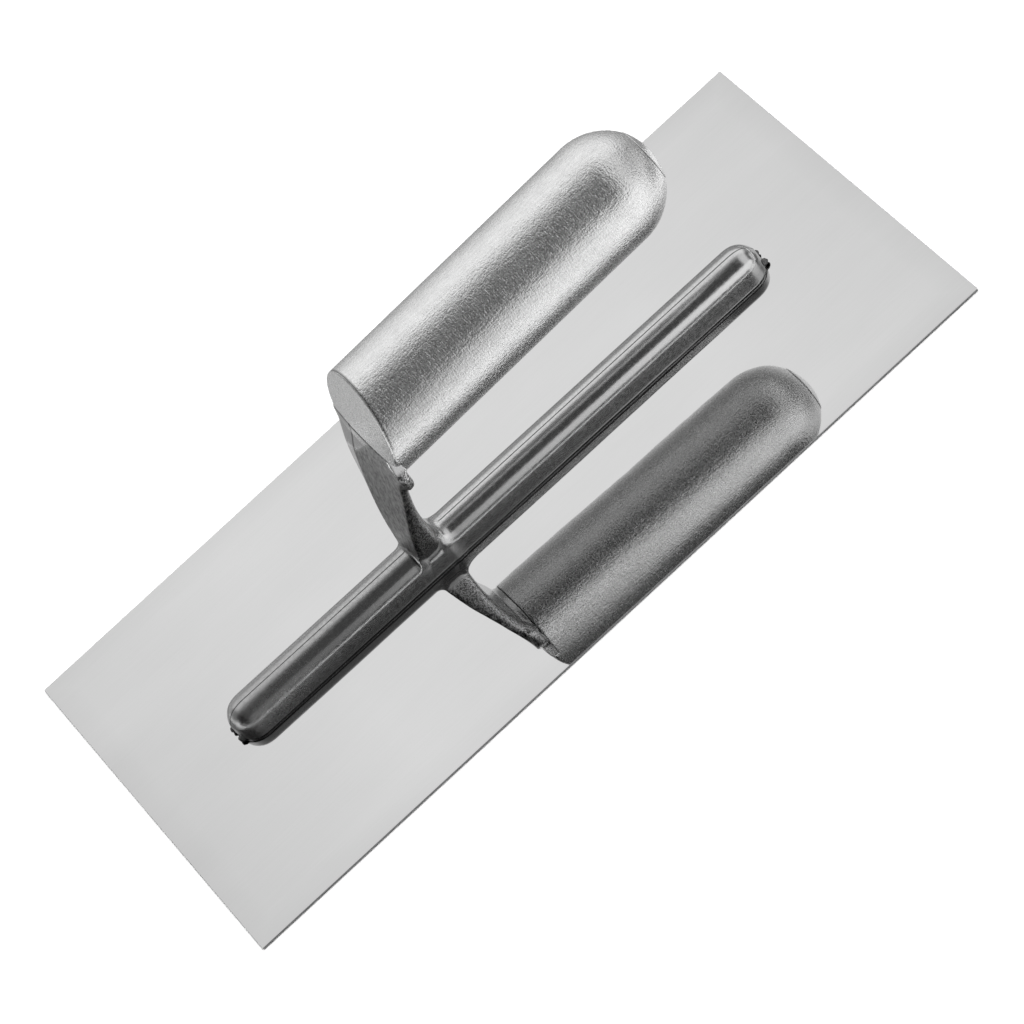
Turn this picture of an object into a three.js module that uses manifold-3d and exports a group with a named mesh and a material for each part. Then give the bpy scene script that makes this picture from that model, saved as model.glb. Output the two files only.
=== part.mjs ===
// Plasterer's finishing trowel.
// A thin rectangular steel blade is riveted to an aluminium casting. The casting is a long low
// spine with one post near its front end, and the head of the post is let into the lower half of
// the handle's front end. A steel tang runs from the head into the round wooden handle.
// Millimetres, +Z up. The origin is the centre of the blade's sole. +X points along the blade to
// the handle's domed end.

import * as THREE from 'three';
import Module from 'manifold-3d';
import { mergeVertices } from 'three/addons/utils/BufferGeometryUtils.js';

const wasm = await Module();
wasm.setup();

// ---- driving sizes ---------------------------------------------------------------------------

const BLADE = { length: 280, width: 130, thickness: 0.7, corner: 0.4 };

const SPINE = {
  halfWidth: 8.1, // at the widest place, just above the blade
  height: 10.0, // from the blade's top face to the crown
  footLift: 1.0, // the lower edge is undercut by this much
  footInset: 0.8,
  straightEnd: 97, // the spine is straight to here, both ways
  tip: 105.3, // the rounded ends reach here
};

// The post, from the foot to the head: height, front face, back face, half width.
const POST = [
  { z: 3.0, front: -38.0, back: -14.0, half: 6.0 },
  { z: 8.0, front: -36.0, back: -17.0, half: 6.4 },
  { z: 11.0, front: -33.4, back: -20.2, half: 6.6 },
  { z: 14.0, front: -32.2, back: -21.7, half: 6.8 },
  { z: 18.0, front: -31.2, back: -22.2, half: 7.1 },
  { z: 24.0, front: -29.9, back: -21.8, half: 8.0 },
  { z: 30.0, front: -28.6, back: -21.0, half: 9.2 },
  { z: 36.0, front: -27.1, back: -20.0, half: 10.6 },
  { z: 42.0, front: -25.6, back: -19.0, half: 12.0 },
  { z: 48.0, front: -24.0, back: -18.2, half: 13.0 },
  { z: 54.0, front: -22.4, back: -18.0, half: 13.8 },
];
const POST_CORNER_POWER = 4.4; // 2 is an oval section, larger is squarer

// The handle's own axis: it crosses x = 0 at this height and rises towards +X.
const AXIS_HEIGHT = 65.2;
const AXIS_SLOPE = THREE.MathUtils.degToRad(2.2);

// Along the handle's axis, measured from x = 0.
const HANDLE = {
  radius: 17.7,
  faceAt: -18.9, // where the slanted front face crosses the axis
  faceSlope: 0.33, // the face leans back by this much for each millimetre up
  blank: -27, // the turned blank before the front face is cut
  end: 93.4,
};
const HANDLE_DOME = [
  [17.7, 78.0],
  [17.4, 81.5],
  [16.7, 84.2],
  [15.4, 86.9],
  [13.9, 89.1],
  [12.2, 91.0],
  [10.4, 92.5],
  [9.0, 93.4],
];
const BUTTON = { radius: 8.6, rim: 0.7, crown: 2.2, pegRadius: 4.0, pegDepth: 16 };

const HEAD_TOP = -4.8; // straight top edge of the head, below the handle's axis
const SEAT = -17.6; // the step the handle's end bears on
const FIT_GAP = 0.15; // between handle and casting

const TANG = { radius: 4.5, drop: 10.2, from: -20.6, to: 72, point: 3 };
const TANG_BORE_CLEARANCE = 0.15;

const RIVET = { headRadius: 3.0, shankRadius: 2.0, top: 6.0, clearance: 0.12 };
const RIVET_POSITIONS = [-94.5, -67.5, -40.5, -13.5, 13.5, 40.5, 67.5, 94.5];

// ---- materials -------------------------------------------------------------------------------

function material(color, roughness, metalness) {
  return new THREE.MeshStandardMaterial({ color, roughness, metalness });
}

const polishedSteel = material(0xd8dadb, 0.08, 1.0);
const castAluminium = material(0x9b9d9f, 0.38, 1.0);
const silverPaint = material(0xb4b5b7, 0.38, 0.7);
const plainSteel = material(0x8c8f92, 0.35, 1.0);

// ---- solids ----------------------------------------------------------------------------------

function toSolid(geometry) {
  const bare = geometry.clone();
  bare.deleteAttribute('normal');
  bare.deleteAttribute('uv');
  const merged = mergeVertices(bare, 1e-4);
  const mesh = new wasm.Mesh({
    numProp: 3,
    vertProperties: new Float32Array(merged.attributes.position.array),
    triVerts: new Uint32Array(merged.index.array),
  });
  return new wasm.Manifold(mesh);
}

function toGeometry(solid) {
  const mesh = solid.getMesh();
  const geometry = new THREE.BufferGeometry();
  geometry.setAttribute('position', new THREE.BufferAttribute(new Float32Array(mesh.vertProperties), 3));
  geometry.setIndex(new THREE.BufferAttribute(new Uint32Array(mesh.triVerts), 1));
  geometry.computeVertexNormals();
  return geometry;
}

// A closed skin through rings that all have the same number of points. Each ring runs
// anticlockwise seen from the far end, so the skin faces outward.
function loft(rings) {
  const count = rings[0].length;
  const points = [];
  const faces = [];
  for (const ring of rings) {
    for (const p of ring) points.push(p.x, p.y, p.z);
  }
  for (let k = 0; k < rings.length - 1; k += 1) {
    for (let i = 0; i < count; i += 1) {
      const a = k * count + i;
      const b = k * count + ((i + 1) % count);
      faces.push(a, b, b + count, a, b + count, a + count);
    }
  }
  const capAt = (ring, first, outward) => {
    const centre = new THREE.Vector3();
    for (const p of ring) centre.add(p);
    centre.divideScalar(count);
    const hub = points.length / 3;
    points.push(centre.x, centre.y, centre.z);
    for (let i = 0; i < count; i += 1) {
      const next = (i + 1) % count;
      if (outward) faces.push(hub, first + i, first + next);
      else faces.push(hub, first + next, first + i);
    }
  };
  capAt(rings[0], 0, false);
  capAt(rings[rings.length - 1], (rings.length - 1) * count, true);
  const geometry = new THREE.BufferGeometry();
  geometry.setAttribute('position', new THREE.Float32BufferAttribute(points, 3));
  geometry.setIndex(faces);
  return geometry;
}

// A solid of revolution about the X axis from [radius, along] pairs.
function turnedAlongX(profile, segments) {
  const points = profile.map(([radius, along]) => new THREE.Vector2(radius, along));
  const geometry = new THREE.LatheGeometry(points, segments);
  geometry.rotateZ(-Math.PI / 2);
  return geometry;
}

function turnedAlongZ(profile, segments) {
  const points = profile.map(([radius, along]) => new THREE.Vector2(radius, along));
  const geometry = new THREE.LatheGeometry(points, segments);
  geometry.rotateX(Math.PI / 2);
  return geometry;
}

function block(xMin, xMax, yMin, yMax, zMin, zMax) {
  const geometry = new THREE.BoxGeometry(xMax - xMin, yMax - yMin, zMax - zMin);
  geometry.translate((xMin + xMax) / 2, (yMin + yMax) / 2, (zMin + zMax) / 2);
  return geometry;
}

// From the handle's own frame (X along its axis) to the trowel's frame.
function placeOnAxis(geometry) {
  geometry.rotateY(-AXIS_SLOPE);
  geometry.translate(0, 0, AXIS_HEIGHT);
  return geometry;
}

// Everything in front of the slanted end face, in the handle's own frame.
function beyondFrontFace() {
  const geometry = block(-60, 0, -40, 40, -60, 60);
  geometry.rotateY(Math.atan(HANDLE.faceSlope));
  geometry.translate(HANDLE.faceAt, 0, 0);
  return geometry;
}

// The straight cutter for one rivet: a countersink in the blade and a blind hole in the spine.
function rivetHole(x) {
  const { headRadius, shankRadius, top, clearance } = RIVET;
  const flare = (headRadius - shankRadius) / BLADE.thickness;
  const below = 0.5;
  const geometry = turnedAlongZ(
    [
      [0, -below],
      [headRadius + clearance + flare * below, -below],
      [shankRadius + clearance, BLADE.thickness],
      [shankRadius + clearance, top],
      [0, top],
    ],
    24,
  );
  geometry.translate(x, 0, 0);
  return toSolid(geometry);
}

// ---- pieces ----------------------------------------------------------------------------------

function bladeGeometry() {
  const { length, width, thickness, corner } = BLADE;
  const x = length / 2;
  const y = width / 2;
  const outline = new THREE.Shape();
  outline.moveTo(-x + corner, -y);
  outline.lineTo(x - corner, -y);
  outline.absarc(x - corner, -y + corner, corner, -Math.PI / 2, 0);
  outline.lineTo(x, y - corner);
  outline.absarc(x - corner, y - corner, corner, 0, Math.PI / 2);
  outline.lineTo(-x + corner, y);
  outline.absarc(-x + corner, y - corner, corner, Math.PI / 2, Math.PI);
  outline.lineTo(-x, -y + corner);
  outline.absarc(-x + corner, -y + corner, corner, Math.PI, Math.PI * 1.5);
  const sheet = new THREE.ExtrudeGeometry(outline, { depth: thickness, bevelEnabled: false, curveSegments: 5 });
  let solid = toSolid(sheet);
  for (const position of RIVET_POSITIONS) solid = solid.subtract(rivetHole(position));
  return toGeometry(solid);
}

function rivetGeometry(x) {
  const { headRadius, shankRadius, top } = RIVET;
  const geometry = turnedAlongZ(
    [
      [0, 0],
      [headRadius, 0],
      [shankRadius, BLADE.thickness],
      [shankRadius, top],
      [0, top],
    ],
    24,
  );
  geometry.translate(x, 0, 0);
  return geometry;
}

function spineGeometry() {
  const { halfWidth, height, footLift, footInset, straightEnd, tip } = SPINE;
  const base = BLADE.thickness;
  const archSteps = 14;
  const section = [[-(halfWidth - footInset), 0]];
  for (let i = 0; i <= archSteps; i += 1) {
    const angle = Math.PI - (Math.PI * i) / archSteps;
    const rise = footLift + (height - footLift) * Math.sin(angle);
    section.push([halfWidth * Math.cos(angle), rise]);
  }
  section.push([halfWidth - footInset, 0]);
  const ring = (x, scale) => section.map(([y, z]) => new THREE.Vector3(x, -y * scale, base + z * scale));

  const endSteps = 7;
  const rings = [];
  for (let i = endSteps; i >= 0; i -= 1) {
    const angle = (i / endSteps) * THREE.MathUtils.degToRad(84);
    rings.push(ring(-straightEnd - (tip - straightEnd) * Math.sin(angle), Math.cos(angle) ** 0.7));
  }
  for (let i = 0; i <= endSteps; i += 1) {
    const angle = (i / endSteps) * THREE.MathUtils.degToRad(84);
    rings.push(ring(straightEnd + (tip - straightEnd) * Math.sin(angle), Math.cos(angle) ** 0.7));
  }
  return loft(rings);
}

function postGeometry() {
  const steps = 32;
  const power = 2 / POST_CORNER_POWER;
  const rings = POST.map(({ z, front, back, half }) => {
    const ring = [];
    for (let i = 0; i < steps; i += 1) {
      const angle = (i / steps) * Math.PI * 2;
      const c = Math.cos(angle);
      const s = Math.sin(angle);
      const x = (front + back) / 2 + ((back - front) / 2) * Math.sign(c) * Math.abs(c) ** power;
      const y = half * Math.sign(s) * Math.abs(s) ** power;
      ring.push(new THREE.Vector3(x, y, z));
    }
    return ring;
  });
  return loft(rings);
}

// The head is the lower part of the handle's end disc, cut flush with the slanted front face.
function headGeometry() {
  const { radius, blank } = HANDLE;
  const disc = turnedAlongX(
    [
      [0, blank],
      [radius, blank],
      [radius, SEAT - FIT_GAP],
      [0, SEAT - FIT_GAP],
    ],
    64,
  );
  const lower = block(-60, 0, -40, 40, -60, HEAD_TOP - FIT_GAP);
  const solid = toSolid(disc).intersect(toSolid(lower)).subtract(toSolid(beyondFrontFace()));
  return placeOnAxis(toGeometry(solid));
}

function tangCutter() {
  const radius = TANG.radius + TANG_BORE_CLEARANCE;
  const geometry = turnedAlongX(
    [
      [0, TANG.from - TANG_BORE_CLEARANCE],
      [radius, TANG.from - TANG_BORE_CLEARANCE],
      [radius, TANG.to + 4],
      [0, TANG.to + 4],
    ],
    32,
  );
  geometry.translate(0, 0, -TANG.drop);
  return geometry;
}

function mountingGeometry() {
  let solid = toSolid(spineGeometry()).add(toSolid(postGeometry())).add(toSolid(headGeometry()));
  for (const position of RIVET_POSITIONS) solid = solid.subtract(rivetHole(position));
  solid = solid.subtract(toSolid(placeOnAxis(tangCutter())));
  return toGeometry(solid);
}

function tangGeometry() {
  const { radius, drop, from, to, point } = TANG;
  const geometry = turnedAlongX(
    [
      [0, from],
      [radius, from],
      [radius, to - point],
      [radius - point / 2, to],
      [0, to],
    ],
    32,
  );
  geometry.translate(0, 0, -drop);
  return placeOnAxis(geometry);
}

function handleGeometry() {
  const { radius, blank, end } = HANDLE;
  const body = turnedAlongX([[0, blank], [radius, blank], ...HANDLE_DOME, [0, end]], 64);
  const notch = block(-60, SEAT, -40, 40, -60, HEAD_TOP);
  const peg = turnedAlongX(
    [
      [0, end - BUTTON.pegDepth],
      [BUTTON.pegRadius + FIT_GAP, end - BUTTON.pegDepth],
      [BUTTON.pegRadius + FIT_GAP, end + 5],
      [0, end + 5],
    ],
    32,
  );
  const solid = toSolid(body)
    .subtract(toSolid(beyondFrontFace()))
    .subtract(toSolid(notch))
    .subtract(toSolid(tangCutter()))
    .subtract(toSolid(peg));
  return placeOnAxis(toGeometry(solid));
}

function buttonGeometry() {
  const { radius, rim, crown, pegRadius, pegDepth } = BUTTON;
  const foot = HANDLE.end + 0.02;
  const profile = [
    [0, foot - pegDepth + 1],
    [pegRadius, foot - pegDepth + 1],
    [pegRadius, foot],
    [radius, foot],
    [radius, foot + rim],
  ];
  const steps = 5;
  for (let i = 1; i < steps; i += 1) {
    const r = radius * (1 - i / steps);
    profile.push([r, foot + rim + (crown - rim) * (1 - (r / radius) ** 2)]);
  }
  profile.push([0, foot + crown]);
  return placeOnAxis(turnedAlongX(profile, 48));
}

// ---- assembly --------------------------------------------------------------------------------

const trowel = new THREE.Group();
trowel.name = 'finishing_trowel';

function addPiece(name, geometry, pieceMaterial) {
  const mesh = new THREE.Mesh(geometry, pieceMaterial);
  mesh.name = name;
  trowel.add(mesh);
}

addPiece('blade', bladeGeometry(), polishedSteel);
addPiece('mounting_casting', mountingGeometry(), castAluminium);
addPiece('tang', tangGeometry(), plainSteel);
addPiece('handle', handleGeometry(), silverPaint);
addPiece('end_button', buttonGeometry(), silverPaint);
RIVET_POSITIONS.forEach((position, index) => {
  addPiece(`blade_rivet_${index + 1}`, rivetGeometry(position), plainSteel);
});

export default trowel;
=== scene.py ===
"""Plasterer's finishing trowel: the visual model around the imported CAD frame.

The casting and the handle are described as solid fields (functions that are negative inside the
metal or wood), turned into even quad meshes and then drawn tight onto the exact surface.
The blade, the rivets and the end button are built with bmesh, and the hidden tang stays as it is
in the CAD frame.
All sizes are millimetres in the CAD frame: +X along the blade to the handle's domed end, +Z up.
"""

import math

import bmesh
import bpy
import numpy as np
import openvdb
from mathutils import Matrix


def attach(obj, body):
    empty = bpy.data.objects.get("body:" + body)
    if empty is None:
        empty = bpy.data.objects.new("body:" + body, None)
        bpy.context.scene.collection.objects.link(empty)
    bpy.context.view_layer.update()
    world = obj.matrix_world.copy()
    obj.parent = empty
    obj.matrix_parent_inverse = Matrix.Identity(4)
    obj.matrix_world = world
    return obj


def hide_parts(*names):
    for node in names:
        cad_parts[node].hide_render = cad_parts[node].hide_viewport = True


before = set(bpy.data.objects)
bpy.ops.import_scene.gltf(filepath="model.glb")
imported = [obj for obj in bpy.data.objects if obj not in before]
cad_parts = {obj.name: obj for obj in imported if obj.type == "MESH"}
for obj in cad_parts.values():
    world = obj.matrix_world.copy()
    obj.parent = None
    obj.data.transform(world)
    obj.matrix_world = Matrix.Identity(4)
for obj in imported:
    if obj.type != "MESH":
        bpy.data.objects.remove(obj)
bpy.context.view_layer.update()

MM = 0.001

# ---- driving sizes ---------------------------------------------------------------------------

BLADE_LENGTH = 280.0
BLADE_WIDTH = 130.0
BLADE_TOP = 0.7
BLADE_CORNER = 0.4
BLADE_EDGE_ROUND = 0.14

SPINE_WALL_LEAN = 0.34  # the side walls lean in by this much for each millimetre up
SPINE_ARCH_HALF = 7.05
SPINE_ARCH_CENTRE = 3.3
SPINE_ARCH_HEIGHT = 7.4
SPINE_STRAIGHT = 96.4
SPINE_NOSE = 8.4
SPINE_NOSE_POWER = 2.5  # 2 is a round nose, larger is blunter
SPINE_OFFSET = -0.28
SPINE_YAW = -0.005
SPINE_RIM = 0.6  # height of the undercut below the side wall
SPINE_RIM_INSET = 0.2
SEAM_STEP = 0.05  # one half of the mould stood this much higher than the other
SPINE_LIFT = 0.02  # a hair of air between the blade and the spine

# The broken-off runners at each end of the spine: two stubs, given by |x|, y and z.
STUB_OFFSETS = (-3.2, 1.5)
STUB_AT = 104.3
STUB_HEIGHT = 1.75
STUB_REACH = (1.4, 1.25, 0.9)
STUB_SCALE = 1.1
STUB_LUMPS = 0.16
STUB_LUMP_SIZE = 2.6

# The handle's axis stands this high over the blade's centre and rises towards the dome. Places on
# the handle are measured along that axis, across it and above it.
AXIS_HEIGHT = 64.8
AXIS_SLOPE = math.radians(2.2)
HANDLE_RADIUS = 17.8
DOME_START = 77.5
DOME_LENGTH = 18.5
HANDLE_END = 93.4
FACE_AT = -19.2
FACE_SLOPE = 0.32
FACE_CROWN = 0.0023
FACE_EDGE_ROUND = 0.5
LOW_CORNER_ROUND = 3.0  # added to it at the lowest corner on the near side
SEAT = -17.6  # the casting's head lies in front of this and below HEAD_TOP
HEAD_TOP = -4.4
FIT_GAP = 0.15

TANG_RADIUS = 4.5
TANG_DROP = 10.2
TANG_FROM = -20.6
TANG_TO = 72.0
BORE_CLEARANCE = 0.15
BORE_BEYOND = 4.0  # the bore goes this much deeper than the tang

BUTTON_RADIUS = 9.0
BUTTON_RIM = 0.3
BUTTON_CROWN = 2.4
BUTTON_EDGE_ROUND = 0.2
BUTTON_LIFT = 0.02  # a hair of air between the dome's flat and the button
PEG_RADIUS = 4.0
PEG_DEPTH = 16.0

RIVET_HEAD = 3.0
RIVET_SHANK = 2.0
RIVET_TOP = 6.0
RIVET_CHAMFER = 0.12
RIVET_LIFT = 0.02  # its head ends this much inside the sole
RIVET_CLEARANCE = 0.12
RIVET_POSITIONS = (-94.5, -67.5, -40.5, -13.5, 13.5, 40.5, 67.5, 94.5)

# The post by height: sanded front face, how far the raw casting stood in front of it, back, half width.
POST_Z = np.array([4.0, 10.0, 14.0, 18.0, 24.0, 30.0, 36.0, 42.0, 48.0, 54.0, 60.0])
POST_FRONT = np.array([-32.6, -31.5, -30.9, -30.3, -29.2, -27.8, -26.3, -24.9, -23.5, -22.1, -20.8])
POST_STOCK = np.array([1.6, 1.6, 1.6, 1.8, 2.0, 2.0, 2.0, 1.8, 1.4, 1.0, 0.8])
POST_BACK = np.array([-21.5, -21.8, -22.0, -22.1, -22.1, -21.7, -20.9, -19.9, -19.0, -18.2, -17.6])
POST_HALF = np.array([5.1, 5.6, 6.4, 7.1, 8.1, 9.25, 10.4, 11.6, 12.7, 14.1, 17.0])
POST_CENTRE = -0.5
POST_WIDER = 2.2  # how much further the far half of the post reaches, near its top
POST_SKEW = 0.1  # the sanded face reaches further forward on its +Y side
POST_POWER = 4.0
UNSANDED_FROM = 8.2  # beyond this y the front falls back out of the sander's reach
UNSANDED_SLOPE = 0.13
UNSANDED_TOP = 57.2  # nor did it reach the corner where y + z is more than this
HEAD_PROUD = 0.1  # how far the head stands in front of the handle's end face
HEAD_CHAMFER = (12.3, 59.1, math.radians(63.0))  # a point of it (|y|, z) and its lean from level
EAR_CENTRE = (-19.3, -12.2, 51.4)
EAR_REACH = (1.7, 3.5, 5.6)

# The fillet at the post's foot: beside it, and what is added to that in front and behind.
FOOT_FILLET = 0.9
FOOT_FILLET_FRONT = 1.1
FOOT_FILLET_BACK = 3.6

CASTING_STEP = 0.39
HANDLE_STEP = 0.49
BAND_STEPS = 3.0  # a field is only kept this many steps either side of its surface
SNAP_ROUNDS = 4
CORNER_POINTS = 6
SMALL_TURN_SEGMENTS = 64
BUTTON_SEGMENTS = 96
BUTTON_RINGS = 14


# ---- field helpers ---------------------------------------------------------------------------


def union(a, b, blend):
    """The join of two fields, with a fillet about as wide as blend."""
    share = np.clip(0.5 + 0.5 * (b - a) / blend, 0.0, 1.0)
    return b + (a - b) * share - blend * share * (1.0 - share)


def intersect(a, b, blend):
    """The overlap of two fields, with its edge rounded over about blend."""
    return -union(-a, -b, blend)


def smooth_step(low, high, value):
    """Rises from 0 at low to 1 at high without a kink; low may be the larger of the two."""
    t = np.clip((value - low) / (high - low), 0.0, 1.0)
    return t * t * (3.0 - 2.0 * t)


def through(knots, levels, value):
    """A smooth curve through (knot, level) pairs."""
    slopes = np.gradient(levels, knots)
    index = np.clip(np.searchsorted(knots, value) - 1, 0, len(knots) - 2)
    width = knots[index + 1] - knots[index]
    t = np.clip((value - knots[index]) / width, 0.0, 1.0)
    start = (1.0 + 2.0 * t) * (1.0 - t) ** 2 * levels[index]
    start = start + t * (1.0 - t) ** 2 * width * slopes[index]
    end = t * t * (3.0 - 2.0 * t) * levels[index + 1]
    return start + end - t * t * (1.0 - t) * width * slopes[index + 1]


def unevenness(x, y, z, size):
    """Smooth irregular lumps between -1 and 1, about size across."""
    k = 2.0 * math.pi / size
    first = np.sin(k * (0.83 * x + 0.41 * y - 0.37 * z) + 1.3)
    second = np.sin(k * (-0.36 * x + 0.77 * y + 0.58 * z) * 1.37 + 4.1)
    third = np.sin(k * (0.52 * x - 0.61 * y + 0.65 * z) * 1.83 + 2.2)
    return (first * second + second * third + third * first) / 1.9


def to_handle(x, y, z):
    """A place in the handle's own frame: along its axis, across, and above it."""
    rise = z - AXIS_HEIGHT
    along = x * math.cos(AXIS_SLOPE) + rise * math.sin(AXIS_SLOPE)
    above = rise * math.cos(AXIS_SLOPE) - x * math.sin(AXIS_SLOPE)
    return along, y, above


def from_handle(along, y, above):
    """The way back from the handle's own frame."""
    x = along * math.cos(AXIS_SLOPE) - above * math.sin(AXIS_SLOPE)
    z = along * math.sin(AXIS_SLOPE) + above * math.cos(AXIS_SLOPE) + AXIS_HEIGHT
    return x, y, z


# ---- the solids as fields --------------------------------------------------------------------


def front_face(along, y, above):
    """Negative behind the slanted, slightly crowned end face of the handle."""
    face = FACE_AT + FACE_SLOPE * above + FACE_CROWN * (y * y + above * above)
    return (face - along) / math.hypot(1.0, FACE_SLOPE)


def tang_bore(along, y, above):
    """Negative inside the blind bore that takes the tang."""
    radial = np.hypot(y, above + TANG_DROP) - TANG_RADIUS - BORE_CLEARANCE
    ends = np.maximum(TANG_FROM - BORE_CLEARANCE - along, along - TANG_TO - BORE_BEYOND)
    return np.maximum(radial, ends)


def handle_body(along, y, above):
    """The handle without its notch and bores."""
    nose = np.maximum(along - DOME_START, 0.0) / DOME_LENGTH
    barrel = (np.sqrt((y * y + above * above) / HANDLE_RADIUS**2 + nose**2) - 1.0) * HANDLE_RADIUS
    barrel = intersect(barrel, along - HANDLE_END, 0.35)
    low_corner = smooth_step(-11.0, -15.5, y) * smooth_step(0.0, -6.0, above)
    edge_round = FACE_EDGE_ROUND + LOW_CORNER_ROUND * low_corner
    return intersect(barrel, front_face(along, y, above), edge_round)


def handle_field(x, y, z):
    """The handle with its notch for the head, the tang's bore and the button's hole."""
    along, y, above = to_handle(x, y, z)
    body = handle_body(along, y, above)
    notch = np.maximum(along - SEAT, above - HEAD_TOP)
    peg_hole = np.maximum(np.hypot(y, above) - PEG_RADIUS - FIT_GAP, HANDLE_END - PEG_DEPTH - along)
    body = intersect(body, -notch, 0.25)
    body = np.maximum(body, -tang_bore(along, y, above))
    return np.maximum(body, -peg_hole)


def spine_shift(x):
    """The casting lies very slightly askew on the blade."""
    return SPINE_OFFSET + SPINE_YAW * x


def spine_section(y, z):
    """The spine's cross-section: leaning flat walls under a round arch, open downward."""
    arch = np.hypot(y / SPINE_ARCH_HALF, (z - SPINE_ARCH_CENTRE) / SPINE_ARCH_HEIGHT)
    arch = (arch - 1.0) * SPINE_ARCH_HALF
    # Each wall meets the arch where the arch has the wall's own slope.
    turn = math.atan(SPINE_WALL_LEAN * SPINE_ARCH_HEIGHT / SPINE_ARCH_HALF)
    join_y = SPINE_ARCH_HALF * math.cos(turn)
    join_z = SPINE_ARCH_CENTRE + SPINE_ARCH_HEIGHT * math.sin(turn)
    wall = (np.abs(y) - join_y - SPINE_WALL_LEAN * (join_z - z)) / math.hypot(1.0, SPINE_WALL_LEAN)
    share = smooth_step(join_z - 0.8, join_z + 0.8, z)
    return arch * share + wall * (1.0 - share)


def spine_field(x, y, z):
    """The whole spine with its blunt ends, on a slightly narrower foot."""
    y = y - spine_shift(x)
    inset = np.maximum(spine_section(y, z) + SPINE_NOSE, 0.0)
    reach = np.maximum(np.abs(x) - SPINE_STRAIGHT, 0.0)
    nose = (inset**SPINE_NOSE_POWER + reach**SPINE_NOSE_POWER) ** (1.0 / SPINE_NOSE_POWER)
    # The two halves of the mould met along the crown.
    shell = nose - SPINE_NOSE - SEAM_STEP * smooth_step(-0.25, 0.25, y)
    height = z - BLADE_TOP
    wall = intersect(shell, SPINE_RIM - height, 0.3)
    foot = shell + SPINE_RIM_INSET
    return np.maximum(np.minimum(wall, foot), SPINE_LIFT - height)


def gate_stubs(x, y, z):
    """The broken-off runners at both ends of the spine: two rough stubs each."""
    y = y - spine_shift(x)
    lumps = STUB_LUMPS * unevenness(x, y, z, STUB_LUMP_SIZE)
    stubs = []
    for offset in STUB_OFFSETS:
        away = ((np.abs(x) - STUB_AT) / STUB_REACH[0]) ** 2
        away = away + ((y - offset) / STUB_REACH[1]) ** 2
        away = away + ((z - STUB_HEIGHT) / STUB_REACH[2]) ** 2
        stubs.append((np.sqrt(away) - 1.0) * STUB_SCALE + lumps)
    return np.minimum(*stubs)


def post_raw(x, y, z):
    """The post as cast: a rounded rectangle at every height, before its front was sanded."""
    front = through(POST_Z, POST_FRONT - POST_STOCK, z)
    back = through(POST_Z, POST_BACK, z)
    half = through(POST_Z, POST_HALF, z)
    half = half + POST_WIDER * smooth_step(34.0, 48.0, z) * (y > POST_CENTRE)
    across = np.abs((y - POST_CENTRE) / half) ** POST_POWER
    deep = np.abs((x - 0.5 * (front + back)) / (0.5 * (back - front))) ** POST_POWER
    scale = np.minimum(half, 0.5 * (back - front))
    post = ((across + deep) ** (1.0 / POST_POWER) - 1.0) * scale
    return np.maximum(post, 3.0 - z)


def sanded_plane(x, y, z):
    """Negative behind the belt-sanded front of the post."""
    skew = POST_SKEW * (1.0 - 0.7 * smooth_step(46.0, 60.0, z))
    return through(POST_Z, POST_FRONT, z) - skew * (y - POST_CENTRE) - x


def unsanded_front(x, y, z):
    """Negative behind the part of the front that the sander didn't reach."""
    return sanded_plane(x, y, z) + UNSANDED_SLOPE * (y - UNSANDED_FROM)


def head_field(x, y, z):
    """The lower part of the handle's end disc, just inside the handle's own surface."""
    along, across, above = to_handle(x, y, z)
    disc = np.hypot(across, above) - HANDLE_RADIUS + 0.2
    return np.maximum(disc, along - SEAT + FIT_GAP)


def head_limits(x, y, z):
    """What bounds the head and the post's top: the seat, a chamfer on the -Y side, the end face."""
    along, across, above = to_handle(x, y, z)
    chamfer_y, chamfer_z, lean = HEAD_CHAMFER
    chamfer = (z - chamfer_z) * math.cos(lean) - (y + chamfer_y) * math.sin(lean)
    top = intersect(above - HEAD_TOP + FIT_GAP, chamfer, 0.3)
    # Lower down the post stands out in front of the end face's plane.
    face = front_face(along, across, above) - HEAD_PROUD + 0.2 * np.minimum(above + 8.0, 0.0)
    return intersect(top, face, 0.45)


def ear_field(x, y, z):
    """A small ear at the near side of the head, tapering down into the flank."""
    total = 0.0
    for place, centre, reach in zip((x, y, z), EAR_CENTRE, EAR_REACH):
        total = total + np.abs((place - centre) / reach) ** 3
    ear = (total ** (1.0 / 3.0) - 1.0) * EAR_REACH[0]
    return np.maximum(ear, x - SEAT + FIT_GAP)


def seat_relief(along, above):
    """Keeps the handle's clearance from cutting the head where the handle has its notch."""
    notch = np.maximum(along - SEAT + FIT_GAP, above - HEAD_TOP + FIT_GAP)
    return np.where(notch < 0.0, -100.0, 0.0)


def mounting_field(x, y, z):
    """The whole casting: spine, runner stubs, post, ear and head, with the bores it has."""
    spine = union(spine_field(x, y, z), gate_stubs(x, y, z), 0.3)
    post = union(post_raw(x, y, z), ear_field(x, y, z), 1.2)
    upper = union(post, head_field(x, y, z), 0.8)
    upper = intersect(upper, head_limits(x, y, z), 0.25)
    upper = intersect(upper, sanded_plane(x, y, z), 0.3)
    upper = intersect(upper, unsanded_front(x, y, z), 0.1)
    fillet = FOOT_FILLET + FOOT_FILLET_FRONT * smooth_step(-28.5, -30.5, x)
    fillet = fillet + FOOT_FILLET_BACK * smooth_step(-24.5, -21.5, x)
    solid = union(spine, upper, fillet)

    along, across, above = to_handle(x, y, z)
    clear = FIT_GAP - handle_body(along, across, above) + seat_relief(along, above)
    solid = np.maximum(solid, clear)
    solid = np.maximum(solid, -tang_bore(along, across, above))
    for position in RIVET_POSITIONS:
        hole = np.hypot(x - position, y) - RIVET_SHANK - RIVET_CLEARANCE
        solid = np.maximum(solid, -np.maximum(hole, z - RIVET_TOP))
    return solid


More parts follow.
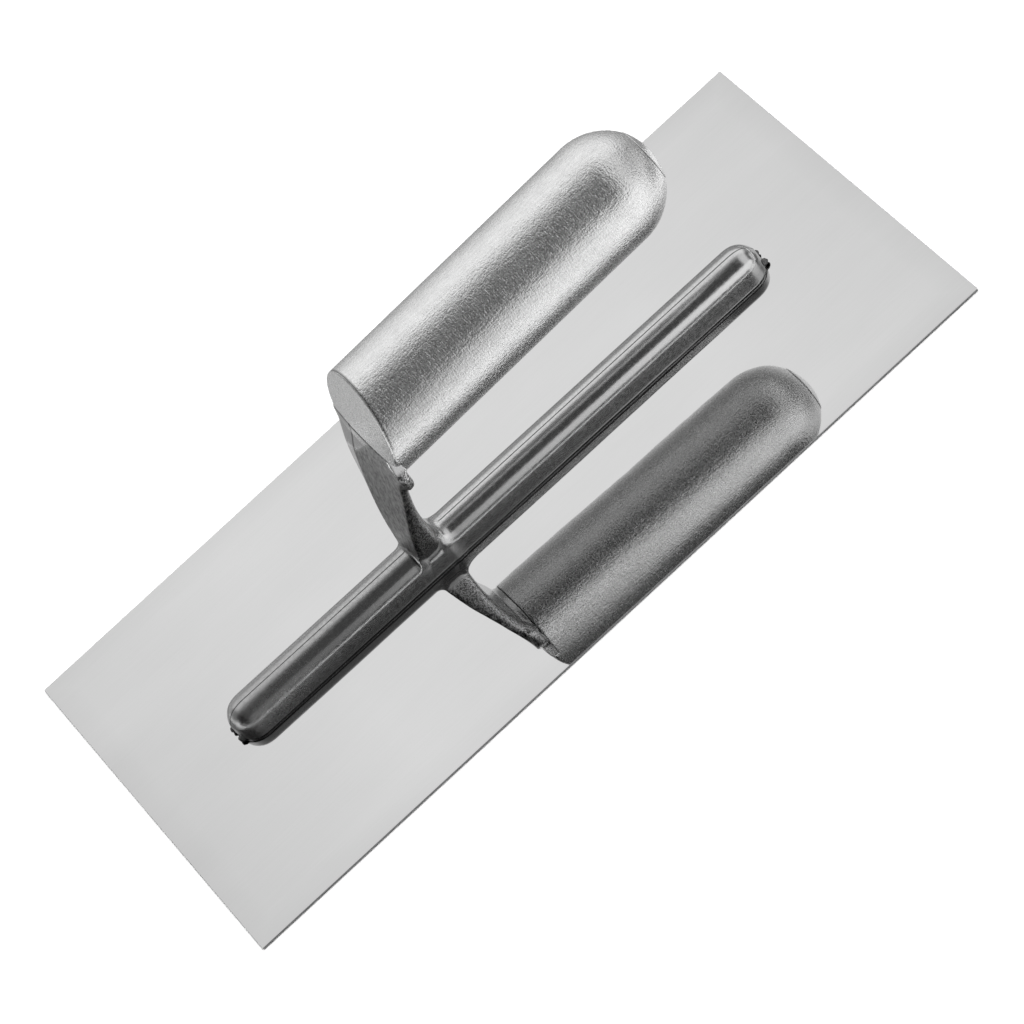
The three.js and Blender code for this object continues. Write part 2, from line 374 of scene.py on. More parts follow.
# ---- from field to mesh ----------------------------------------------------------------------


def slope_of(field, points):
    """The field's gradient at each point, by central differences."""
    reach = 0.02
    parts = []
    for axis in range(3):
        offset = np.zeros(3)
        offset[axis] = reach
        ahead = field(*(points + offset).T)
        behind = field(*(points - offset).T)
        parts.append((ahead - behind) / (2.0 * reach))
    return np.stack(parts, axis=1)


def polygonise(field, boxes, step):
    """Quads over the zero surface of the field. The boxes together hold the whole surface."""
    boxes = np.array(boxes, dtype=float)
    low = boxes[:, 0].min(axis=0)
    high = boxes[:, 1].max(axis=0)
    axes = [np.arange(lo, hi + step, step) for lo, hi in zip(low, high)]
    band = BAND_STEPS * step
    values = np.full([len(axis) for axis in axes], band, dtype=np.float32)
    for box_low, box_high in boxes:
        spans = []
        for axis, lo, hi in zip(axes, box_low, box_high):
            spans.append(slice(np.searchsorted(axis, lo), np.searchsorted(axis, hi)))
        places = np.meshgrid(*[axis[span] for axis, span in zip(axes, spans)], indexing="ij")
        values[tuple(spans)] = np.clip(field(*places), -band, band)
    grid = openvdb.FloatGrid(band)
    grid.copyFromArray(values)
    points, quads = grid.convertToQuads(0.0)
    points = points.astype(float) * step + low
    # Draws the points onto the exact surface, a part of a step at a time.
    for _ in range(SNAP_ROUNDS):
        slope = slope_of(field, points)
        size = np.maximum((slope**2).sum(axis=1), 0.05)
        move = field(*points.T)[:, None] * slope / size[:, None]
        length = np.linalg.norm(move, axis=1, keepdims=True)
        points = points - move * np.minimum(1.0, 0.4 * step / np.maximum(length, 1e-9))
    return points, quads


def mesh_from_points(name, points, faces):
    """A mesh object from millimetre points, with its faces turned outward."""
    mesh = bpy.data.meshes.new(name)
    mesh.from_pydata((points * MM).tolist(), [], [list(map(int, face)) for face in faces])
    mesh.update()
    shape = bmesh.new()
    shape.from_mesh(mesh)
    if shape.calc_volume(signed=True) < 0.0:
        bmesh.ops.reverse_faces(shape, faces=shape.faces)
    shape.to_mesh(mesh)
    shape.free()
    mesh.shade_smooth()
    piece = bpy.data.objects.new(name, mesh)
    bpy.context.collection.objects.link(piece)
    return piece


def add_point_values(piece, name, values):
    """Stores a number for each point of the mesh, for the material to read."""
    layer = piece.data.attributes.new(name, "FLOAT", "POINT")
    layer.data.foreach_set("value", np.asarray(values, dtype=np.float32))


def points_of(piece):
    """The mesh's points in millimetres."""
    flat = np.empty(len(piece.data.vertices) * 3)
    piece.data.vertices.foreach_get("co", flat)
    return flat.reshape(-1, 3) / MM


def object_from_bmesh(name, shape):
    """An object from a bmesh built in millimetres, with its faces turned outward."""
    mesh = bpy.data.meshes.new(name)
    bmesh.ops.scale(shape, vec=(MM, MM, MM), verts=shape.verts)
    bmesh.ops.recalc_face_normals(shape, faces=shape.faces)
    shape.to_mesh(mesh)
    shape.free()
    piece = bpy.data.objects.new(name, mesh)
    bpy.context.collection.objects.link(piece)
    return piece


def turned(shape, profile, segments):
    """Adds a solid of revolution about Z; its (radius, height) profile starts and ends on Z."""
    rings = []
    for radius, height in profile:
        if radius == 0.0:
            rings.append([shape.verts.new((0.0, 0.0, height))])
            continue
        ring = []
        for i in range(segments):
            angle = 2.0 * math.pi * i / segments
            ring.append(shape.verts.new((radius * math.cos(angle), radius * math.sin(angle), height)))
        rings.append(ring)
    for lower, upper in zip(rings, rings[1:]):
        for i in range(segments):
            j = (i + 1) % segments
            if len(lower) == 1:
                shape.faces.new((lower[0], upper[j], upper[i]))
            elif len(upper) == 1:
                shape.faces.new((lower[i], lower[j], upper[0]))
            else:
                shape.faces.new((lower[i], lower[j], upper[j], upper[i]))


# ---- materials -------------------------------------------------------------------------------

NOISE_RANGE = (0.3, 0.7)  # where nearly all values of a noise texture lie


class Shader:
    """A small helper that keeps node building short. Lengths in it are millimetres."""

    def __init__(self, name):
        self.material = bpy.data.materials.new(name)
        self.material.use_nodes = True
        self.tree = self.material.node_tree
        self.surface = self.tree.nodes["Principled BSDF"]
        coordinates = self.tree.nodes.new("ShaderNodeTexCoord")
        in_millimetres = self.tree.nodes.new("ShaderNodeVectorMath")
        in_millimetres.operation = "SCALE"
        in_millimetres.inputs["Scale"].default_value = 1.0 / MM
        self.link(coordinates.outputs["Object"], in_millimetres.inputs[0])
        self.place = in_millimetres.outputs[0]

    def link(self, source, target):
        self.tree.links.new(source, target)

    def put(self, target, value):
        """Gives a socket a number, or links another node's output to it."""
        if hasattr(value, "is_output"):
            self.link(value, target)
        else:
            target.default_value = value

    def give(self, name, value):
        self.put(self.surface.inputs[name], value)

    def give_grey(self, level):
        self.give("Base Color", self.vector(level, level, level))

    def give_relief(self, height, share=1.0):
        """Bends the normals as a relief of this height would, or a share of it."""
        node = self.tree.nodes.new("ShaderNodeBump")
        node.inputs["Strength"].default_value = share
        node.inputs["Distance"].default_value = MM
        self.link(height, node.inputs["Height"])
        self.give("Normal", node.outputs[0])

    def math(self, operation, a, b=0.0, clamp=False):
        node = self.tree.nodes.new("ShaderNodeMath")
        node.operation = operation
        node.use_clamp = clamp
        self.put(node.inputs[0], a)
        self.put(node.inputs[1], b)
        return node.outputs[0]

    def add(self, total, *others):
        for other in others:
            total = self.math("ADD", total, other)
        return total

    def less(self, level, taken):
        return self.math("SUBTRACT", level, taken)

    def times(self, product, *others):
        for other in others:
            product = self.math("MULTIPLY", product, other)
        return product

    def absolute(self, value):
        return self.math("ABSOLUTE", value)

    def axes(self, vector):
        node = self.tree.nodes.new("ShaderNodeSeparateXYZ")
        self.link(vector, node.inputs[0])
        return node.outputs[0], node.outputs[1], node.outputs[2]

    def vector(self, x, y, z):
        node = self.tree.nodes.new("ShaderNodeCombineXYZ")
        for socket, value in zip(node.inputs, (x, y, z)):
            self.put(socket, value)
        return node.outputs[0]

    def scaled(self, vector, factors):
        node = self.tree.nodes.new("ShaderNodeVectorMath")
        node.operation = "MULTIPLY"
        self.link(vector, node.inputs[0])
        node.inputs[1].default_value = factors
        return node.outputs[0]

    def noise(self, vector, scale, detail=2.0, roughness=0.5):
        node = self.tree.nodes.new("ShaderNodeTexNoise")
        self.link(vector, node.inputs["Vector"])
        node.inputs["Scale"].default_value = scale
        node.inputs["Detail"].default_value = detail
        node.inputs["Roughness"].default_value = roughness
        return node.outputs[0]

    def remap(self, value, low, high, to_low, to_high):
        """Goes straight from to_low to to_high as value crosses low to high, and stays there."""
        node = self.tree.nodes.new("ShaderNodeMapRange")
        self.put(node.inputs[0], value)
        for index, level in enumerate((low, high, to_low, to_high), start=1):
            node.inputs[index].default_value = level
        return node.outputs[0]

    def spread(self, noise, low, high):
        """A noise stretched so that its usual range runs from low to high."""
        return self.remap(noise, *NOISE_RANGE, low, high)

    def dimmed(self, level, mask, factor):
        """The level, multiplied by factor where the mask is 1."""
        return self.times(level, self.remap(mask, 0.0, 1.0, 1.0, factor))

    def attribute(self, name):
        node = self.tree.nodes.new("ShaderNodeAttribute")
        node.attribute_name = name
        return node.outputs["Fac"]


def mirror_steel():
    """Mirror-polished sheet: very slightly wavy, a trace of polishing haze, raw cut edges."""
    s = Shader("mirror_polished_steel")
    x, y, _ = s.axes(s.place)
    reach_x = s.less(BLADE_LENGTH / 2.0, s.absolute(x))
    reach_y = s.less(BLADE_WIDTH / 2.0, s.absolute(y))
    edge = s.math("MINIMUM", reach_x, reach_y)
    cut_edge = s.remap(edge, 0.03, 0.08, 1.0, 0.0)
    near_edge = s.remap(edge, 0.0, 9.0, 1.0, 0.0)

    smear = s.noise(s.scaled(s.place, (0.35, 1.0, 1.0)), 0.05, 3.0)
    grain = s.noise(s.scaled(s.place, (0.06, 2.2, 1.0)), 1.0, 2.0)
    level = s.less(s.spread(smear, 0.592, 0.613), s.times(near_edge, 0.03))
    level = s.add(level, s.remap(grain, 0.2, 0.8, -0.006, 0.006))
    # The ends are a little hazier than the middle, the near end most of all.
    level = s.dimmed(level, s.remap(s.absolute(x), 70.0, 135.0, 0.0, 1.0), 0.925)
    near_end = s.times(s.remap(x, -135.0, -70.0, 1.0, 0.0), s.remap(y, 0.0, 40.0, 1.0, 0.0))
    level = s.dimmed(level, near_end, 0.95)
    s.give_grey(s.dimmed(level, cut_edge, 0.38))
    polish = s.spread(s.noise(s.place, 0.03, 2.0), 0.012, 0.03)
    s.give("Roughness", s.math("MAXIMUM", polish, s.times(cut_edge, 0.5)))
    s.give("Metallic", 1.0)

    # The sheet is pulled down along the rivets, so its polished faces are a little crowned.
    outer = s.math("MAXIMUM", s.less(s.absolute(y), 10.0), 0.0)
    squared = s.times(outer, outer)
    crown = s.add(s.times(s.math("SQRT", s.add(squared, 36.0)), -0.0195), s.times(squared, -0.00003))
    waves = s.times(s.noise(s.scaled(s.place, (0.6, 1.0, 1.0)), 0.022, 1.0), 0.4)
    ripple = s.times(s.noise(s.place, 0.12, 1.0), 0.008)
    s.give_relief(s.add(crown, s.add(waves, ripple)))
    return s.material


def cast_metal():
    """Die-cast aluminium: glossy skin with a fine mottle, sanded in front, rough on the flanks."""
    s = Shader("cast_aluminium_skin")
    sanded = s.attribute("sanded")
    rough_cast = s.attribute("rough_cast")
    gate = s.attribute("gate")
    front = s.attribute("front")
    beside_ridge = s.attribute("beside_ridge")
    filed_highlight = s.attribute("filed_highlight")
    x, y, z = s.axes(s.place)
    near_nose = s.remap(x, -98.0, -60.0, 1.0, 0.0)
    from_seam = s.absolute(s.less(s.less(y, SPINE_OFFSET), s.times(x, SPINE_YAW)))
    from_seam = s.add(from_seam, s.remap(z, 10.9, 11.6, 0.0, 1.0))

    mottle = s.noise(s.place, 0.9, 3.0, 0.6)
    pits = s.noise(s.place, 2.3, 1.0)
    drawn = s.noise(s.scaled(s.place, (0.05, 1.0, 1.0)), 1.4, 2.0)
    brush = s.noise(s.scaled(s.place, (1.2, 2.6, 0.12)), 1.6, 2.0)
    scuffs = s.noise(s.scaled(s.place, (1.0, 1.0, 0.5)), 0.9, 4.0, 0.7)

    level = s.spread(mottle, 0.53, 0.59)
    level = s.less(level, s.times(rough_cast, s.remap(pits, 0.4, 0.6, 0.42, -0.15)))
    level = s.less(level, s.times(sanded, s.remap(scuffs, 0.38, 0.62, 0.43, 0.16)))
    # Painted shade: a ragged dark band on the flank beside the sanded ridge, where that edge casts its
    # shadow.
    ridge_shade = s.times(beside_ridge, s.remap(scuffs, 0.42, 0.56, 1.0, 0.35))
    level = s.dimmed(level, ridge_shade, 0.12)
    # Painted highlight: the filed patch on the head's near chamfer is bare metal, and is lightened far
    # beyond that where the handle shades it.
    level = s.math("ADD", level, s.times(filed_highlight, 0.4), clamp=True)
    plain_front = s.math("MULTIPLY", front, s.less(1.0, sanded), clamp=True)
    level = s.less(level, s.times(plain_front, 0.18))
    level = s.dimmed(level, gate, 0.4)
    # Painted shade: a dark line along the mould seam, for the shade in its fine groove.
    seam_line = s.remap(from_seam, 0.07, 0.17, 1.0, 0.0)
    level = s.dimmed(level, seam_line, 0.22)
    # A fine burr line where the sanded part of the front ends.
    burr = s.remap(s.absolute(s.less(y, UNSANDED_FROM)), 0.25, 0.6, 1.0, 0.0)
    burr = s.times(burr, front, s.remap(z, 33.0, 36.0, 0.0, 1.0))
    level = s.dimmed(level, burr, 0.1)
    # Painted shade: the spine's side walls are painted darker than its top, for the darker light they
    # face.
    level = s.times(level, s.remap(z, 3.5, 6.0, 0.74, 1.0))
    # Painted shade: a near-black band is painted in the groove under the spine's rim, where the contact
    # shadow between casting and blade falls.
    from_shaded_groove = s.absolute(s.less(z, BLADE_TOP + SPINE_RIM))
    s.give_grey(s.times(level, s.remap(from_shaded_groove, 0.16, 0.28, 0.04, 1.0)))

    rough = s.add(s.spread(mottle, 0.17, 0.23), s.times(sanded, 0.18), s.times(rough_cast, 0.1))
    s.give("Roughness", s.add(rough, s.times(near_nose, 0.1), s.times(gate, 0.3)))
    s.give("Metallic", 1.0)

    skin = s.add(s.times(mottle, 0.02), s.times(drawn, 0.01))
    skin = s.add(skin, s.times(pits, s.remap(rough_cast, 0.0, 1.0, 0.004, 0.12)))
    skin = s.add(skin, s.times(pits, s.times(near_nose, 0.015)))
    skin = s.add(skin, s.times(brush, sanded, 0.05))
    s.give_relief(s.less(skin, s.times(seam_line, 0.05)))
    return s.material


def silver_paint(name, relief_share):
    """Satin silver paint over turned wood: fibres along the grain, fine lathe marks across it."""
    s = Shader(name)
    x, y, z = s.axes(s.place)
    rise = s.less(z, AXIS_HEIGHT)
    cosine = math.cos(AXIS_SLOPE)
    sine = math.sin(AXIS_SLOPE)
    along = s.add(s.times(x, cosine), s.times(rise, sine))
    above = s.less(s.times(rise, cosine), s.times(x, sine))
    around = s.times(s.math("ARCTAN2", y, above), HANDLE_RADIUS)
    radial = s.math("SQRT", s.add(s.times(y, y), s.times(above, above)))
    unrolled = s.vector(along, around, radial)
    straight = s.vector(along, y, above)

    fibre = s.noise(s.scaled(straight, (0.18, 1.0, 1.0)), 1.9, 1.0)
    marks = s.noise(s.scaled(unrolled, (1.0, 0.22, 0.22)), 2.1, 1.0)
    grain = s.noise(s.place, 2.3, 1.0)
    clouds = s.noise(s.place, 0.12, 2.0)
    flecks = s.noise(s.scaled(s.place, (1.0, 1.0, 0.4)), 1.3, 2.0, 0.6)

    level = s.spread(clouds, 0.69, 0.74)
    level = s.add(level, s.spread(grain, -0.06, 0.06), s.spread(fibre, -0.05, 0.05))
    # The end grain of the front face drank more paint; the turned edge beside it has painted shade.
    curved = s.times(radial, radial, FACE_CROWN)
    face = s.add(s.times(above, FACE_SLOPE), FACE_AT, curved)
    behind = s.less(along, face)
    on_face = s.remap(behind, 0.3, 0.45, 1.0, 0.0)
    # Painted shade: a dark ring just behind the face's rim, on its upper and far part only.
    edge = s.times(s.remap(behind, 0.5, 1.1, 1.0, 0.0), s.less(1.0, on_face))
    upper_far = s.add(above, s.times(y, 0.5))
    edge = s.times(edge, s.remap(upper_far, -8.0, -3.0, 0.0, 1.0))
    level = s.times(level, s.math("POWER", s.remap(flecks, 0.3, 0.42, 0.72, 1.0), on_face))
    level = s.dimmed(level, edge, 0.3)
    # Painted shade: the underside is painted darker.
    s.give_grey(s.times(level, s.remap(above, -13.0, -7.0, 0.8, 1.0)))
    s.give("Roughness", s.spread(grain, 0.2, 0.38))
    s.give("Metallic", 0.93)

    relief = s.add(s.times(fibre, 0.08), s.times(marks, 0.11), s.times(grain, 0.12))
    s.give_relief(s.dimmed(relief, on_face, 0.25), relief_share)
    return s.material


def ground_steel(name, level_low, level_high, rough):
    """Plain steel with fine grinding lines."""
    s = Shader(name)
    lines = s.noise(s.scaled(s.place, (0.1, 1.6, 1.0)), 2.0, 3.0)
    stain = s.noise(s.place, 0.35, 3.0)
    s.give_grey(s.add(s.spread(stain, level_low, level_high), s.spread(lines, -0.03, 0.03)))
    s.give("Roughness", s.spread(lines, rough - 0.06, rough + 0.08))
    s.give("Metallic", 1.0)
    s.give_relief(s.times(lines, 0.02))
    return s.material


# ---- pieces ----------------------------------------------------------------------------------


def blade_piece():
    """The sheet with its countersunk rivet holes and softly rounded edges."""
    shape = bmesh.new()
    corners = (
        (BLADE_LENGTH / 2, BLADE_WIDTH / 2, 0.0),
        (-BLADE_LENGTH / 2, BLADE_WIDTH / 2, 90.0),
        (-BLADE_LENGTH / 2, -BLADE_WIDTH / 2, 180.0),
        (BLADE_LENGTH / 2, -BLADE_WIDTH / 2, 270.0),
    )
    outline = []
    for x, y, start in corners:
        centre_x = x - math.copysign(BLADE_CORNER, x)
        centre_y = y - math.copysign(BLADE_CORNER, y)
        for turn in np.linspace(start, start + 90.0, CORNER_POINTS):
            angle = math.radians(turn)
            corner_x = centre_x + BLADE_CORNER * math.cos(angle)
            corner_y = centre_y + BLADE_CORNER * math.sin(angle)
            outline.append(shape.verts.new((corner_x, corner_y, 0.0)))
    sole = shape.faces.new(outline)
    grown = bmesh.ops.extrude_face_region(shape, geom=[sole])
    lifted = [item for item in grown["geom"] if isinstance(item, bmesh.types.BMVert)]
    bmesh.ops.translate(shape, vec=(0.0, 0.0, BLADE_TOP), verts=lifted)
    rim = [edge for edge in shape.edges if abs(edge.verts[0].co.z - edge.verts[1].co.z) < 1e-6]
    bmesh.ops.bevel(shape, geom=rim, offset=BLADE_EDGE_ROUND, segments=4, affect="EDGES", profile=0.5)
    blade = object_from_bmesh("polished_blade", shape)

    drills = bmesh.new()
    flare = (RIVET_HEAD - RIVET_SHANK) / BLADE_TOP
    beyond = 0.5
    profile = (
        (0.0, -beyond),
        (RIVET_HEAD + RIVET_CLEARANCE + flare * beyond, -beyond),
        (RIVET_SHANK + RIVET_CLEARANCE, BLADE_TOP),
        (RIVET_SHANK + RIVET_CLEARANCE, BLADE_TOP + beyond),
        (0.0, BLADE_TOP + beyond),
    )
    for position in RIVET_POSITIONS:
        before = set(drills.verts)
        turned(drills, profile, SMALL_TURN_SEGMENTS)
        new = [vert for vert in drills.verts if vert not in before]
        bmesh.ops.translate(drills, vec=(position, 0.0, 0.0), verts=new)
    cutter = object_from_bmesh("drills", drills)
    cut = blade.modifiers.new("rivet_holes", "BOOLEAN")
    cut.operation = "DIFFERENCE"
    cut.solver = "EXACT"
    cut.object = cutter
    graph = bpy.context.evaluated_depsgraph_get()
    finished = bpy.data.meshes.new_from_object(blade.evaluated_get(graph))
    blade.modifiers.clear()
    blade.data = finished
    bpy.data.objects.remove(cutter)
    blade.data.materials.clear()
    blade.data.materials.append(mirror_steel())
    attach(blade, "root")
    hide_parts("blade")


def mounting_piece():
    """The casting: spine, post and head as one body."""
    step = CASTING_STEP
    # One box round the spine with its stubs, one round the post and the head.
    boxes = [
        [(-108.0, -10.5, -0.5), (108.0, 10.5, 13.0)],
        [(-38.0, -20.0, 0.0), (-10.0, 20.0, 63.5)],
    ]
    points, quads = polygonise(mounting_field, boxes, step)
    piece = mesh_from_points("spine_and_post_casting", points, quads)
    points = points_of(piece)
    x, y, z = points.T
    along, across, above = to_handle(x, y, z)
    unsanded = unsanded_front(x, y, z)
    on_plane = smooth_step(-0.35, -0.1, np.maximum(sanded_plane(x, y, z), unsanded))
    on_post = smooth_step(9.5, 12.5, z)
    reached = smooth_step(0.03, -0.03, unsanded - sanded_plane(x, y, z))
    on_top = smooth_step(-0.5, -0.2, head_limits(x, y, z))
    whole_front = np.maximum(on_plane, on_top * smooth_step(-12.2, -11.2, y)) * on_post
    below_corner = smooth_step(0.8, -0.8, y + z - UNSANDED_TOP)
    add_point_values(piece, "sanded", whole_front * reached * below_corner)
    add_point_values(piece, "front", whole_front)
    flank = on_post * (1.0 - on_plane) * (1.0 - on_top * smooth_step(-15.0, -14.2, y))
    # Behind and on its far side the post came smoother out of the mould than on its near side.
    rear = smooth_step(-0.8, -0.6, y / through(POST_Z, POST_HALF, z))
    add_point_values(piece, "rough_cast", flank * (1.0 - 0.65 * rear))
    # The filed chamfer patch, which the material lightens as a painted highlight.
    on_chamfer = smooth_step(-11.5, -12.2, y) * smooth_step(-15.0, -14.2, y)
    add_point_values(piece, "filed_highlight", on_post * (1.0 - on_plane) * on_top * on_chamfer)
    # Where the material paints the band of shade beside the sanded ridge.
    beside_ridge = smooth_step(-2.4, -1.0, sanded_plane(x, y, z)) * smooth_step(0.0, -3.0, y)
    add_point_values(piece, "beside_ridge", flank * beside_ridge)
    rough_end = smooth_step(0.9, 0.1, gate_stubs(x, y, z) + 0.35 * unevenness(x, y, z, 2.3))
    add_point_values(piece, "gate", rough_end)
    piece.data.materials.append(cast_metal())
    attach(piece, "root")
    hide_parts("mounting_casting")


def handle_piece():
    """The turned wooden handle, slanted in front and domed behind."""
    step = HANDLE_STEP
    low_x, _, _ = from_handle(-28.0, 0.0, 0.0)
    boxes = [[(low_x, -19.0, 45.0), (96.0, 19.0, 88.5)]]
    points, quads = polygonise(handle_field, boxes, step)
    piece = mesh_from_points("turned_handle", points, quads)
    piece.data.materials.append(silver_paint("silver_paint_on_wood", 1.0))
    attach(piece, "root")
    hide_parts("handle")


def button_piece():
    """The crowned disc in the middle of the dome, with its hidden peg."""
    foot = HANDLE_END + BUTTON_LIFT
    peg_end = foot - PEG_DEPTH + 1.0
    profile = [
        (0.0, peg_end),
        (PEG_RADIUS - 0.4, peg_end),
        (PEG_RADIUS, peg_end + 0.4),
        (PEG_RADIUS, foot),
        (BUTTON_RADIUS - 0.1, foot),
        (BUTTON_RADIUS, foot + 0.1),
    ]
    crowned_radius = BUTTON_RADIUS - BUTTON_EDGE_ROUND
    for turn in np.linspace(0.0, 0.5 * math.pi, 5):
        radius = crowned_radius + BUTTON_EDGE_ROUND * math.cos(turn)
        height = BUTTON_RIM - BUTTON_EDGE_ROUND * (1.0 - math.sin(turn))
        profile.append((radius, foot + height))
    for ring in range(1, BUTTON_RINGS):
        share = 1.0 - ring / BUTTON_RINGS
        crown = (BUTTON_CROWN - BUTTON_RIM) * (1.0 - share**2)
        profile.append((crowned_radius * share, foot + BUTTON_RIM + crown))
    profile.append((0.0, foot + BUTTON_CROWN))
    shape = bmesh.new()
    turned(shape, profile, BUTTON_SEGMENTS)
    for vert in shape.verts:
        along = vert.co.z
        above = -vert.co.x
        vert.co = from_handle(along, vert.co.y, above)
    piece = object_from_bmesh("dome_button", shape)
    piece.data.shade_smooth()
    piece.data.materials.append(silver_paint("silver_paint_on_button", 0.3))
    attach(piece, "root")
    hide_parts("end_button")


def rivet_pieces():
    """The countersunk rivets, from just inside the sole up into the spine."""
    finish = ground_steel("ground_rivet_steel", 0.5, 0.62, 0.3)
    profile = (
        (0.0, RIVET_LIFT),
        (RIVET_HEAD - RIVET_CHAMFER, RIVET_LIFT),
        (RIVET_HEAD - 0.02, RIVET_LIFT + RIVET_CHAMFER),
        (RIVET_SHANK, BLADE_TOP),
        (RIVET_SHANK, RIVET_TOP - 0.4),
        (RIVET_SHANK - 0.3, RIVET_TOP - 0.1),
        (0.0, RIVET_TOP - 0.1),
    )
    for index, position in enumerate(RIVET_POSITIONS, start=1):
        shape = bmesh.new()
        turned(shape, profile, SMALL_TURN_SEGMENTS)
        bmesh.ops.translate(shape, vec=(position, 0.0, 0.0), verts=shape.verts)
        piece = object_from_bmesh(f"countersunk_rivet_{index}", shape)
        piece.data.materials.append(finish)
        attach(piece, "root")
        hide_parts(f"blade_rivet_{index}")


def dress_tang():
    """The tang is shut in on all sides, so its CAD node stays and only gets a better material."""
    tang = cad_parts["tang"]
    tang.data.materials.clear()
    tang.data.materials.append(ground_steel("drawn_tang_steel", 0.42, 0.55, 0.38))


# ---- studio ----------------------------------------------------------------------------------

# A long lens, high above the near side and a little in front of the post.
CAMERA_LENS = 162.5673
CAMERA_SHIFT = (-0.01032, -0.00911)
CAMERA_PLACE = (-0.07136, -0.87924, 1.04828)
CAMERA_TURN = (33.0112, 23.6972, -36.6292)  # degrees

# Light of the back wall and ceiling, by the angle from straight up towards the back wall.
WALL_LIGHT = (
    (-90, 0.06),
    (-6, 0.07),
    (9, 0.38),
    (20, 1.02),
    (34, 1.12),
    (52, 1.12),
    (70, 0.9),
    (100, 0.8),
)
BACKDROP = 0.95

FLOOR_SIZE = 3000.0
FLOOR_BELOW = 0.1


def make_camera():
    data = bpy.data.cameras.new("camera")
    data.lens = CAMERA_LENS
    data.sensor_width = 36.0
    data.shift_x, data.shift_y = CAMERA_SHIFT
    camera = bpy.data.objects.new("camera", data)
    camera.location = CAMERA_PLACE
    camera.rotation_euler = [math.radians(angle) for angle in CAMERA_TURN]
    bpy.context.collection.objects.link(camera)
    bpy.context.scene.camera = camera


def make_floor():
    shape = bmesh.new()
    bmesh.ops.create_grid(shape, x_segments=8, y_segments=8, size=FLOOR_SIZE)
    bmesh.ops.translate(shape, vec=(0.0, 0.0, -FLOOR_BELOW), verts=shape.verts)
    floor = object_from_bmesh("floor", shape)
    s = Shader("pale_floor")
    s.give_grey(s.spread(s.noise(s.place, 0.02, 2.0), 0.86, 0.88))
    s.give("Roughness", 0.9)
    s.give("Specular IOR Level", 0.1)
    floor.data.materials.append(s.material)


def soft_range(tree, source, low, high, to_low, to_high):
    """Goes smoothly from to_low to to_high as source crosses low to high, and stays there."""
    node = tree.nodes.new("ShaderNodeMapRange")
    node.interpolation_type = "SMOOTHSTEP"
    tree.links.new(source, node.inputs[0])
    for index, level in enumerate((low, high, to_low, to_high), start=1):
        node.inputs[index].default_value = level
    return node.outputs[0]


def combined(tree, kind, operation, first, second=None):
    """A math or vector math node of one or two sources."""
    node = tree.nodes.new(kind)
    node.operation = operation
    tree.links.new(first, node.inputs[0])
    if second is not None:
        socket = "Scale" if operation == "SCALE" else 1
        tree.links.new(second, node.inputs[socket])
    return node.outputs[0]


def make_world():
    """A bright back wall and ceiling, a dark room on the near side, and pale walls at the ends."""
    world = bpy.data.worlds.new("studio")
    bpy.context.scene.world = world
    world.use_nodes = True
    tree = world.node_tree
    coordinates = tree.nodes.new("ShaderNodeTexCoord")
    split = tree.nodes.new("ShaderNodeSeparateXYZ")
    tree.links.new(coordinates.outputs["Generated"], split.inputs[0])
    along, back, up = split.outputs

    degrees = tree.nodes.new("ShaderNodeMapRange")
    degrees.inputs[1].default_value = -math.pi
    degrees.inputs[2].default_value = math.pi
    lean = combined(tree, "ShaderNodeMath", "ARCTAN2", back, up)
    tree.links.new(lean, degrees.inputs[0])
    ramp = tree.nodes.new("ShaderNodeValToRGB")
    ramp.color_ramp.interpolation = "EASE"
    points = ramp.color_ramp.elements
    while len(points) < len(WALL_LIGHT):
        points.new(0.5)
    for point, (angle, level) in zip(points, WALL_LIGHT):
        point.position = (angle + 180.0) / 360.0
        point.color = (level, level, level, 1.0)
    tree.links.new(degrees.outputs[0], ramp.inputs[0])

    # The near side is dark only straight in front; towards the domed end it is pale.
    near_wall = soft_range(tree, along, 0.3, 0.5, 0.0, 0.9)
    walls = combined(tree, "ShaderNodeVectorMath", "MAXIMUM", ramp.outputs[0], near_wall)
    # The room's light falls off towards both ends.
    post_side = soft_range(tree, along, -0.65, -0.38, 0.2, 1.0)
    dome_side = soft_range(tree, along, 0.78, 0.93, 1.0, 0.12)
    falloff = combined(tree, "ShaderNodeMath", "MULTIPLY", post_side, dome_side)
    room = combined(tree, "ShaderNodeVectorMath", "SCALE", walls, falloff)
    # Straight along the tool, at either end, the room is pale again.
    end_on = combined(tree, "ShaderNodeMath", "ABSOLUTE", along)
    end_glow = soft_range(tree, end_on, 0.95, 0.985, 0.0, 0.85)
    whole = combined(tree, "ShaderNodeVectorMath", "MAXIMUM", room, end_glow)

    path = tree.nodes.new("ShaderNodeLightPath")
    seen = tree.nodes.new("ShaderNodeMix")
    seen.data_type = "RGBA"
    tree.links.new(path.outputs["Is Camera Ray"], seen.inputs["Factor"])
    tree.links.new(whole, seen.inputs["A"])
    seen.inputs["B"].default_value = (BACKDROP, BACKDROP, BACKDROP, 1.0)
    tree.links.new(seen.outputs["Result"], tree.nodes["Background"].inputs[0])


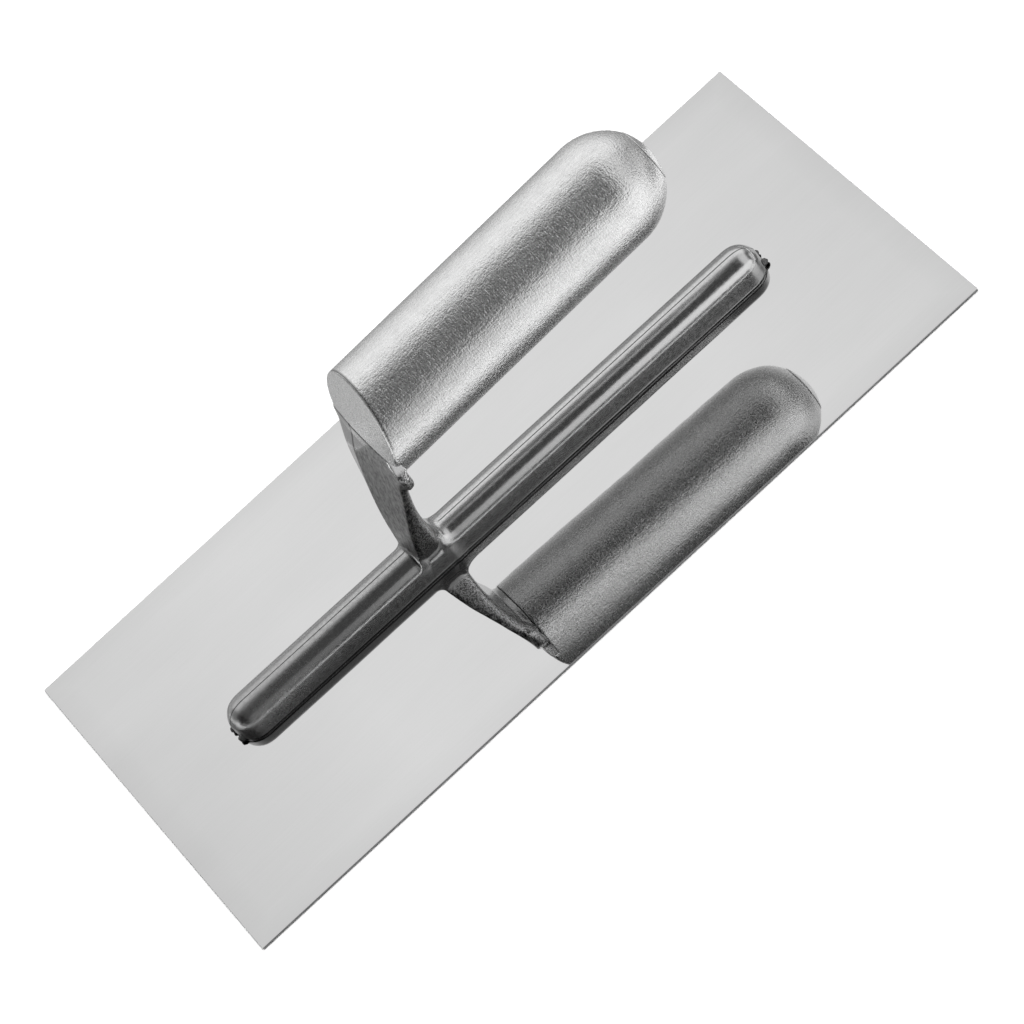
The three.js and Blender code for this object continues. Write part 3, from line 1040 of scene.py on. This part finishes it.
def make_lights():
    """A soft top light for the floor, and glowing cards that are only seen in reflections."""
    top = bpy.data.lights.new("top_light", "SUN")
    top.energy = 2.9
    top.angle = math.radians(50.0)
    lamp = bpy.data.objects.new("top_light", top)
    lamp.rotation_euler = (math.radians(-12.0), math.radians(8.0), 0.0)
    lamp.visible_glossy = False
    bpy.context.collection.objects.link(lamp)

    make_card(
        "front_reflector",
        across=(-150.0, 410.0),
        depths=(-128.0, -128.0),
        heights=(30.0, 112.0),
        fade=(-60.0, 110.0),
        glow_levels=(0.2, 1.25),
    )
    make_card(
        "back_reflector",
        across=(-500.0, 600.0),
        depths=(175.0, 175.0),
        heights=(2.0, 80.0),
        fade=(-60.0, 110.0),
        glow_levels=(0.45, 0.4),
    )
    make_card(
        "side_floor_shade",
        across=(200.0, 600.0),
        depths=(-100.0, 120.0),
        heights=(2.0, 2.2),
        fade=(190.0, 260.0),
        glow_levels=(0.4, 0.1),
    )
    make_card(
        "back_floor_shade",
        across=(-500.0, 600.0),
        depths=(66.0, 175.0),
        heights=(1.5, 2.0),
        fade=(-60.0, -10.0),
        glow_levels=(0.55, 0.3),
    )


def make_card(name, across, depths, heights, fade, glow_levels):
    """A card beside or over the floor round the trowel, whose glow changes along X."""
    shape = bmesh.new()
    bmesh.ops.create_grid(shape, x_segments=12, y_segments=2, size=1.0)
    for vert in shape.verts:
        x = np.interp(vert.co.x, (-1.0, 1.0), across)
        y = np.interp(vert.co.y, (-1.0, 1.0), depths)
        z = np.interp(vert.co.y, (-1.0, 1.0), heights)
        vert.co = (x, y, z)
    card = object_from_bmesh(name, shape)
    s = Shader(name)
    x, _, _ = s.axes(s.place)
    glow = s.tree.nodes.new("ShaderNodeEmission")
    s.link(s.remap(x, *fade, *glow_levels), glow.inputs["Strength"])
    s.tree.nodes.remove(s.surface)
    s.link(glow.outputs[0], s.tree.nodes["Material Output"].inputs["Surface"])
    card.data.materials.append(s.material)
    card.visible_camera = False
    card.visible_shadow = False
    card.visible_diffuse = False


bpy.context.scene.view_settings.view_transform = "Standard"
make_camera()
make_floor()
make_world()
make_lights()
blade_piece()
mounting_piece()
handle_piece()
button_piece()
rivet_pieces()
dress_tang()
